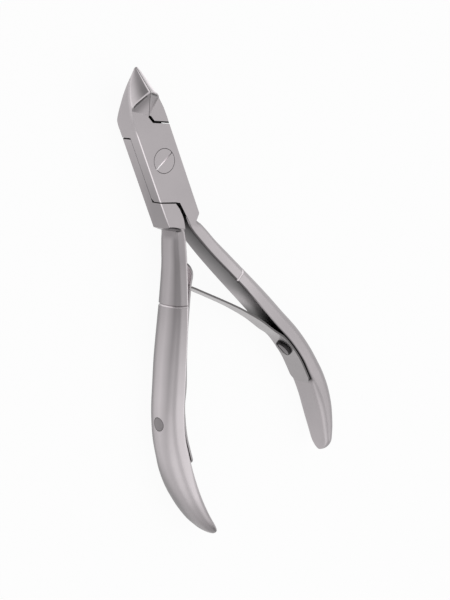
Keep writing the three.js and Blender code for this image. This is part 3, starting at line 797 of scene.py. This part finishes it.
def leftLeafBody():
    path, runs = leafPath(leftLeafRows)
    length = runs[-1]
    width = leafWidth(length)
    radius = leaf["tipWidth"] / 2
    tipStart = 1 - radius / length

    def widthAt(share):
        rest = (1 - share) * length
        if rest >= radius:
            return width(share)
        return width(share) * max(leaf["tipLeast"], math.sqrt(1 - ((radius - rest) / radius) ** 2))

    shares = leafShares(tipStart) + evenShares(tipStart, 1, leaf["tipStations"])[1:]
    return joinSolids(leafStrip(-1, path, runs, widthAt, shares), "DIFFERENCE", leafWindow(), screwBore(-1))


# Painted light and shade: how much lighter or darker the steel of each place is painted, as a multiple of its
# colour, in place of shadows, dark reflections and highlights

# painted light and shade of the handles by shares of the reach, then the outer side, the corner, the front or
# back, its inner edge and the inner face
paintedHandleLight = {
    -1: ((0.17, 1.38, 0.86, 0.74, 1.8, 1.6), (0.26, 1.45, 0.68, 0.68, 2.0, 1.9),
         (0.38, 1.5, 0.76, 0.82, 2.6, 1.9), (0.5, 1.85, 1.04, 1.12, 2.7, 1.7),
         (0.6, 2.0, 1.22, 1.32, 2.3, 1.6), (0.74, 1.7, 1.46, 1.42, 1.75, 1.9),
         (0.85, 1.34, 1.28, 1.45, 1.3, 2.0), (0.93, 1.24, 1.0, 0.98, 0.98, 2.0),
         (0.97, 1.25, 0.8, 0.5, 1.1, 2.0), (1.0, 1.2, 0.7, 0.35, 1.2, 1.8)),
    1: ((0.17, 1.5, 1.3, 1.07, 0.9, 0.52), (0.25, 1.55, 1.32, 1.1, 1.0, 0.58),
        (0.3, 1.55, 1.32, 1.12, 1.0, 0.74), (0.35, 1.6, 1.34, 1.16, 1.0, 0.8),
        (0.4, 1.6, 1.34, 1.16, 1.0, 0.85), (0.45, 1.6, 1.3, 1.08, 1.0, 1.4),
        (0.55, 1.6, 1.22, 0.95, 0.95, 1.2), (0.72, 1.4, 1.08, 0.97, 1.0, 1.22),
        (0.85, 1.35, 1.12, 0.92, 1.09, 1.34), (1.0, 1.35, 1.16, 1.04, 1.2, 1.5)),
}
# angle from the outward direction, then the place in the columns above, counted from the outer side
turnOfPaintedLight = ((0, 0), (6, 0), (33, 1), (60, 1), (84, 2), (96, 2), (110, 3), (128, 3), (150, 4))
# painted shade: the left handle is painted darker round its outer side, by angle towards the front and by
# share of the reach, in place of a dark reflection
paintedRimShadeOfTurn = ((-80, 1), (-32, 0.5), (-14, 0.64), (-4, 0.88), (6, 1))
paintedRimShadeOfShare = ((0.4, 1.0), (0.5, 1.25), (1.0, 1.3))
paintedRimShadeShift = {"turn": 14, "shares": (0.7, 0.85)}
# painted highlight on one flank of the handle's mark and painted shade on the other
paintedMarkLight = {"lit": 2.1, "shaded": 0.8, "facing": 0.35}
# painted shade: the right handle's inner face is painted darker towards the front, and a dark line is painted
# along the leaf's front edge as its contact shadow
innerFacePaintedShade = {
    "turn": 100, "fall": 0.7, "fallAcross": (-0.6, 0.8), "fallEnd": (0.42, 0.5),
    "line": 0.06, "lineStart": (0.46, 0.53), "lineEnd": (-0.005, 0.002), "lineAcross": (0.35, 0.75),
    "lineSlimming": 0.7, "slimFrom": 0.52,
}


def leafContactShadow(share, point):
    # 1 on the painted contact shadow, 0 away from it
    foot = footReach() / handle["reach"]
    across = abs(point.z - joint["thickness"] / 2) - leaf["footWidth"] / 2
    slim = 1 - innerFacePaintedShade["lineSlimming"] * easeBetween(innerFacePaintedShade["slimFrom"], foot, share)
    low, high = (slim * place for place in innerFacePaintedShade["lineAcross"])
    ends = (easeBetween(*innerFacePaintedShade["lineStart"], share)
            * (1 - easeBetween(*(foot + change for change in innerFacePaintedShade["lineEnd"]), share)))
    return (1 - easeBetween(low, high, across)) * ends


# painted light and shade of a handle at a point, as a multiple of the steel's colour
def handleShade(side, point, normal):
    first = handleRows[0][0]
    share = -point.y / handle["reach"]
    for _ in range(3):  # each pass brings the share nearer to the point's own
        at = handleFrame(min(max(share, first), 1), lastShare(side))
        inner = Vector((side * at["inner"].x, at["inner"].y))
        out = Vector((side * at["outward"].x, at["outward"].y))
        along = Vector((-out.y, out.x)) * side
        share += (point.xy - inner).dot(along) * (-1 if along.y > 0 else 1) / handle["reach"]
    share = min(max(share, first), 1)
    turn = math.degrees(math.atan2(abs(normal.z), normal.xy.dot(out)))
    place = straightValue(turnOfPaintedLight, 1, turn)
    column = min(int(place), 3)
    value = between([straightValue(paintedHandleLight[side], column + 1 + k, share) for k in (0, 1)], place - column)
    onInnerFace = side > 0 and turn > innerFacePaintedShade["turn"]
    if side < 0:
        shift = paintedRimShadeShift["turn"] * easeBetween(*paintedRimShadeShift["shares"], share)
        rim = straightValue(paintedRimShadeOfTurn, 1, math.copysign(turn, normal.z) - shift)
        value *= 1 - (1 - rim) * straightValue(paintedRimShadeOfShare, 1, share)
    if onInnerFace:
        lean = easeBetween(*innerFacePaintedShade["fallAcross"], (point.z - at["height"]) / at["halfBroad"])
        value *= 1 - innerFacePaintedShade["fall"] * lean * (1 - easeBetween(*innerFacePaintedShade["fallEnd"], share))
    facing = normal.xy.dot(along)
    markShare = handle["markReach"][side] / handle["reach"]
    if abs(share - markShare) < handle["markWidth"] / handle["reach"] and abs(facing) > paintedMarkLight["facing"]:
        value *= paintedMarkLight["lit" if facing * along.y > 0 else "shaded"]
    if onInnerFace:
        value *= 1 - (1 - innerFacePaintedShade["line"]) * leafContactShadow(share, point)
    return value


# painted light and shade of the joint: gaps painted near-black as their shadow, chamfers, jaw sides and ridge
# painted lighter as highlights, the scoop painted dark as its shadow
paintedJointLight = {
    "gap": 0.03, "front": 0.93, "chamfer": (2.1, 1.6), "chamferSplitY": -9,
    "jawSide": 1.45, "jawSideY": (-4, 6), "ridge": 0.3, "ridgeBelow": (0.1, 1.3), "ridgeShares": (0.2, 0.45),
    "scoop": (0.34, 0.9), "scoopAcross": (-0.1, 0.95), "scoopReach": 1.04,
}
# what counts as which face of the joint: parts of a normal, then places
jointFaces = {
    "side": 0.5, "chamfer": (0.5, 0.85), "front": 0.3, "flat": 0.99, "level": 0.9999, "slack": 0.01,
    "wallInset": 0.02, "innerX": 2.6, "forkX": 2.7, "lapHalf": 0.4, "chamferWidth": 0.4, "frontShare": 0.96,
    "forkTopY": -12, "ledgeY": 6, "bladeY": 8.6, "chamferEndY": 9.6, "gapEndY": 12.6,
}
# painted light and shade of the blades: the hollow painted lighter towards the ridge and darker towards the
# cutting edge, the lip and the cutting edge painted bright as highlights, a crescent under the lip painted
# near-black as its shadow, the neck facets painted darker near the lip and the right jaw painted lighter
paintedBladeLight = {
    "hollow": (1.85, 0.62), "hollowTip": (1.4, 0.85), "tipShares": (0.55, 0.95), "hollowAcross": (0.12, 0.8),
    "ridgeAcross": 0.14, "cuttingEdgeHighlight": 2.4, "cuttingEdgeAcross": 0.93, "right": 1.9,
    "lip": 1.9, "lipWidth": 0.18, "lipAcross": 0.97, "heelSlack": 0.005, "frontSlack": 0.02,
    "crescentShadow": 0.14, "crescentWidth": 0.85, "neckFacet": (0.78, 1.45), "neckBefore": (0.8, 4.5),
    "rightNeck": 1.15,
}


# painted light and shade of the joint block at a point
def jointShade(point, normal):
    x, y, z = point
    top, wide, relief = joint["thickness"], joint["halfWidth"], joint["shoulderRelief"]
    side, slack = jointFaces["side"], jointFaces["slack"]
    outward = normal.x * math.copysign(1, x)
    flat = abs(normal.z) > jointFaces["flat"]
    outerSide = abs(x) > jointFaces["innerX"] and outward > side
    wall = abs(normal.z) < side and abs(x) < wide - jointFaces["wallInset"] and not outerSide
    lap = flat and abs(z - top / 2) < jointFaces["lapHalf"] and abs(x) < wide + slack
    ledge = flat and min(abs(z - top + relief), abs(z - relief)) < slack and y > jointFaces["ledgeY"]
    inFront = normal.z > jointFaces["front"] and z > top * jointFaces["frontShare"]
    if y > jointFaces["bladeY"] and inFront and not (ledge or lap):
        return bladeShade(point)
    besideFork = y > jointFaces["forkTopY"] or abs(x) < jointFaces["forkX"]
    if y < jointFaces["gapEndY"] and besideFork and (wall or lap or ledge):
        return paintedJointLight["gap"]
    low, high = jointFaces["chamfer"]
    onChamfer = low < abs(outward) < high and abs(x) > wide - jointFaces["chamferWidth"]
    if onChamfer and y < jointFaces["chamferEndY"]:
        return paintedJointLight["chamfer"][0 if y > paintedJointLight["chamferSplitY"] else 1]
    if outward > side:
        share = min(jawShare(y + jaw["lipSlant"] * abs(x)), 1)
        below = tableValue(jawRows, 5, share) * top - z
        ridge = 1 + (paintedJointLight["ridge"] * (1 - easeBetween(*paintedJointLight["ridgeBelow"], below))
                     * easeBetween(*paintedJointLight["ridgeShares"], share))
        return ridge * (1 + (paintedJointLight["jawSide"] - 1) * easeBetween(*paintedJointLight["jawSideY"], y))
    return paintedJointLight["front"]


# painted light and shade of a blade at a point
def bladeShade(point):
    x, y, z = point
    station = y + jaw["lipSlant"] * abs(x)
    share = jawShare(station)
    seam, ridgeX = jaw["seamX"], tableValue(jawRows, 4, min(share, 1)) * joint["halfWidth"]
    # 0 at the ridge, 1 at the seam
    across = 1 - min(max((abs(x) - seam) / max(ridgeX - seam, jointFaces["slack"]), 0), 1)
    before = jaw["heelReach"] - station
    if before > paintedBladeLight["heelSlack"]:
        if abs(z - joint["thickness"]) < paintedBladeLight["frontSlack"]:
            return paintedJointLight["front"]
        if before < paintedBladeLight["crescentWidth"] * arch(across):
            return paintedBladeLight["crescentShadow"]
        facet = between(paintedBladeLight["neckFacet"], easeBetween(*paintedBladeLight["neckBefore"], before))
        return facet * (paintedBladeLight["rightNeck"] if x > 0 else 1)
    if -before < paintedBladeLight["lipWidth"] and across < paintedBladeLight["lipAcross"]:
        return paintedBladeLight["lip"]
    if across > paintedBladeLight["cuttingEdgeAcross"]:
        return paintedBladeLight["cuttingEdgeHighlight"]
    tipward = easeBetween(*paintedBladeLight["tipShares"], share)
    lightAndDark = [between(pair, tipward) for pair in zip(paintedBladeLight["hollow"], paintedBladeLight["hollowTip"])]
    hollow = between(lightAndDark, easeBetween(*paintedBladeLight["hollowAcross"], across))
    ridge = 1 + paintedJointLight["ridge"] * (1 - easeBetween(0, paintedBladeLight["ridgeAcross"], across))
    return hollow * (paintedBladeLight["right"] if x > 0 else 1) * ridge


def scoopShade(side, point, face):
    # painted shadow under the scoop's upper edge, none away from it
    local = scoopPlace(side).inverted() @ point
    if local.length > paintedJointLight["scoopReach"] or abs(face.z) > jointFaces["level"]:
        return None
    return between(paintedJointLight["scoop"], easeBetween(*paintedJointLight["scoopAcross"], -local.y))


armZone = {"scoopY": (-19, -13), "handleY": -17.6, "forkEndY": -24, "forkFacing": 0.3, "forkFade": (-15, -23)}


def armShade(side):
    low, high = armZone["scoopY"]

    def shade(point, normal, face):
        if low < point.y < high and (scooped := scoopShade(side, point, face)) is not None:
            return scooped
        if point.y >= armZone["handleY"]:
            return jointShade(point, face)
        value = handleShade(-side, point, normal)
        # inside the fork the steel is painted near-black as its shadow, fading out down the handle
        inFork = normal.x * side < -armZone["forkFacing"] and abs(point.x) < jointFaces["forkX"]
        if inFork and point.y > armZone["forkEndY"]:
            return between((paintedJointLight["gap"], value), easeBetween(*armZone["forkFade"], point.y))
        return value
    return shade


# painted light and shade of the screws: the spring screw's head side painted near-black as its shadow and its
# face and end painted darker; the pivot's slot painted brighter on one side than the other, and its shank
# painted dark as its shadow
paintedScrewLight = {
    "shank": 1.0, "end": 0.85, "endFacing": 0.6, "face": 0.62, "faceFacing": 0.97,
    "headSideShadow": 0.1, "headEdge": 0.5, "edgeDepth": 0.1,
}
paintedPivotLight = {"slot": (4.2, 1.5), "slotSplitX": 0.6, "slotReach": 0.5, "slotFacing": 0.9, "shank": 0.25}
# painted light and shade of the leaves: foot, free end, edges
paintedLeafLight = {-1: (1.7, 2.7, 0.8), 1: (1.12, 1.12, 0.3)}
leafZone = {"edgeFacing": 0.5, "freeY": (-40, -34)}


# painted light and shade of a spring screw at a point
def screwShade(side):
    place = screwPlace(side)[0]
    inverse, unturned = place.inverted(), place.to_3x3().transposed()
    sideStart = headSeat() - springScrew["headHeight"] + paintedScrewLight["edgeDepth"]

    def shade(point, normal, face):
        height = (inverse @ point).z
        outward = (unturned @ face).z
        if height > headSeat():
            return paintedScrewLight["shank" if outward < paintedScrewLight["endFacing"] else "end"]
        if abs(outward) > paintedScrewLight["faceFacing"]:
            return paintedScrewLight["face"]
        return paintedScrewLight["headSideShadow" if height > sideStart else "headEdge"]
    return shade


# painted light and shade of the pivot screw at a point
def pivotShade(point, normal, face):
    top, rim = joint["thickness"], pivot["rimBreak"]
    if point.z > top - rim - jointFaces["slack"] and face.z > jointFaces["front"]:
        return paintedJointLight["front"]
    inside = math.hypot(point.x, point.y) < pivot["headRadius"] - rim
    if face.z > paintedPivotLight["slotFacing"] or (inside and point.z > top - paintedPivotLight["slotReach"]):
        return paintedPivotLight["slot"][0 if point.x < paintedPivotLight["slotSplitX"] else 1]
    return paintedPivotLight["shank"]


# painted light and shade of a leaf: edges painted darker, the left leaf's free end painted lighter than its
# foot
def leafShade(side):
    *footAndFree, edge = paintedLeafLight[side]

    def shade(point, normal, face):
        if abs(face.z) > leafZone["edgeFacing"]:
            return edge
        return between(footAndFree, easeBetween(*leafZone["freeY"], point.y))
    return shade


paint = {"inset": 0.02, "sliverArea": 2e-9, "sliverTone": 0.5}


def paintLightAndShade(body, shade):
    # each corner's painted light or shade is read a little inside its face; slivers stay out of the painted
    # dark
    paintedLightAndShade = body.data.attributes.new("paintedLightAndShade", "FLOAT", "CORNER")
    for face in body.data.polygons:
        middle = face.center * millimetres
        for corner in face.loop_indices:
            spot = body.data.vertices[body.data.loops[corner].vertex_index].co * millimetres
            spot = spot.lerp(middle, paint["inset"])
            value = shade(spot, body.data.corner_normals[corner].vector, face.normal)
            sliver = face.area < paint["sliverArea"] and value < paint["sliverTone"]
            paintedLightAndShade.data[corner].value = 1.0 if sliver else value


# Pieces


def armBody(side):
    # side is the side of the arm's jaw; its handle is on the other side
    body = joinSolids(jointBlock(side), "UNION", jawBody(side), handleBody(-side))
    pivotHole = pivotBody(pivot["clearance"], overrun, -pivot["rimBreak"])
    return joinSolids(body, "DIFFERENCE", *edgeBars(), scoopBall(side), pivotHole, handleMark(-side),
                      screwBore(-side))


# name, the solid it replaces, the body it moves with (none: it is attached to neither body), steel, shape,
# painted light and shade
pieces = (
    ("rearArmForging", "rear_arm", "rear", armSteel, lambda: armBody(1), armShade(1)),
    ("frontArmForging", "front_arm", "front", armSteel, lambda: armBody(-1), armShade(-1)),
    ("pivotScrewTurned", "pivot_screw", "rear", screwSteel, pivotScrewBody, pivotShade),
    ("leftSpringScrewTurned", "left_spring_screw", "rear", screwSteel,
     lambda: springScrewBody(-1), screwShade(-1)),
    ("rightSpringScrewTurned", "right_spring_screw", "front", screwSteel,
     lambda: springScrewBody(1), screwShade(1)),
    ("leftLeafStrip", "left_leaf_spring", None, springSteel, leftLeafBody, leafShade(-1)),
    ("rightLeafStrip", "right_leaf_spring", None, springSteel, rightLeafBody, leafShade(1)),
)
for pieceName, node, carrier, steel, make, shade in pieces:
    piece = finishPiece(make(), pieceName, steel)
    paintLightAndShade(piece, shade)
    if carrier:
        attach(piece, carrier)
    else:
        bpy.context.view_layer.objects.active = piece
        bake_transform(piece)
    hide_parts(node)
    print(pieceName, len(piece.data.polygons), "faces")

# Stage

stage = {"floorSize": 3.0, "floorColour": (0.93, 0.93, 0.93), "whiteShare": 0.94, "skyStrength": 0.55}
softboxes = {
    "leftSoftbox": {"place": (-0.62, -0.33, 0.4), "aim": (0, -0.03, 0), "size": 0.7, "power": 0.8},
    "topSoftbox": {"place": (0.5, -0.42, 0.8), "aim": (0, -0.03, 0), "size": 1.1, "power": 2.6},
}
# the photograph's view of the nipper; its place is in metres and its lens in millimetres
view = {
    "place": (-0.174997, 0.101231, 0.288630), "lens": 60.088, "sensorHeight": 24, "nearest": 0.01,
    "right": (0.735399, -0.292996, 0.611017), "up": (0.464196, 0.874719, -0.139244),
    "back": (-0.493670, 0.386032, 0.779275),
}


def whiteRays(sheet):
    # 1 for rays that show the background: camera, glossy and transmission rays
    camera, glossy, through = (sheet.node("ShaderNodeLightPath", output=name)
                               for name in ("Is Camera Ray", "Is Glossy Ray", "Is Transmission Ray"))
    return camera + glossy + through


def makeFloor():
    bm = bmesh.new()
    bmesh.ops.create_grid(bm, x_segments=1, y_segments=1, size=stage["floorSize"])
    bmesh.ops.translate(bm, verts=bm.verts, vec=(0, 0, cadBox[0][2]))
    floor = asObject(bm, "paleFloor")
    material = bpy.data.materials.new("paleFloor")
    material.use_nodes = True
    sheet = Sheet(material.node_tree)
    diffuse = sheet.node("ShaderNodeBsdfDiffuse", sockets={"Color": (*stage["floorColour"], 1)})
    white = sheet.node("ShaderNodeEmission", sockets={"Strength": 1.0})
    mixed = sheet.node("ShaderNodeMixShader", sockets={0: whiteRays(sheet) * stage["whiteShare"],
                                                       1: diffuse, 2: white})
    sheet.node("ShaderNodeOutputMaterial", sockets={"Surface": mixed})
    floor.data.materials.append(material)


def makeSky():
    world = bpy.data.worlds.new("softRoom")
    bpy.context.scene.world = world
    world.use_nodes = True
    sheet = Sheet(world.node_tree)
    strength = stage["skyStrength"] + whiteRays(sheet) * (1 - stage["skyStrength"])
    sky = sheet.node("ShaderNodeBackground", sockets={"Color": (1, 1, 1, 1), "Strength": strength})
    sheet.node("ShaderNodeOutputWorld", sockets={"Surface": sky})


def addSoftbox(name, box):
    data = bpy.data.lights.new(name, "AREA")
    data.shape = "SQUARE"
    data.size = box["size"]
    data.energy = box["power"]
    lamp = bpy.data.objects.new(name, data)
    lamp.location = box["place"]
    lamp.rotation_euler = (Vector(box["aim"]) - Vector(box["place"])).to_track_quat("-Z", "Y").to_euler()
    bpy.context.scene.collection.objects.link(lamp)


def addCamera():
    data = bpy.data.cameras.new("camera")
    data.sensor_fit = "VERTICAL"
    data.sensor_height = view["sensorHeight"]
    data.lens = view["lens"]
    data.clip_start = view["nearest"]
    camera = bpy.data.objects.new("camera", data)
    turn = Matrix([view[axis] for axis in ("right", "up", "back")]).transposed().to_4x4()
    camera.matrix_world = Matrix.Translation(view["place"]) @ turn
    bpy.context.scene.collection.objects.link(camera)
    bpy.context.scene.camera = camera


makeFloor()
makeSky()
for name, box in softboxes.items():
    addSoftbox(name, box)
addCamera()
bpy.context.scene.view_settings.view_transform = "Standard"
print("stage set")
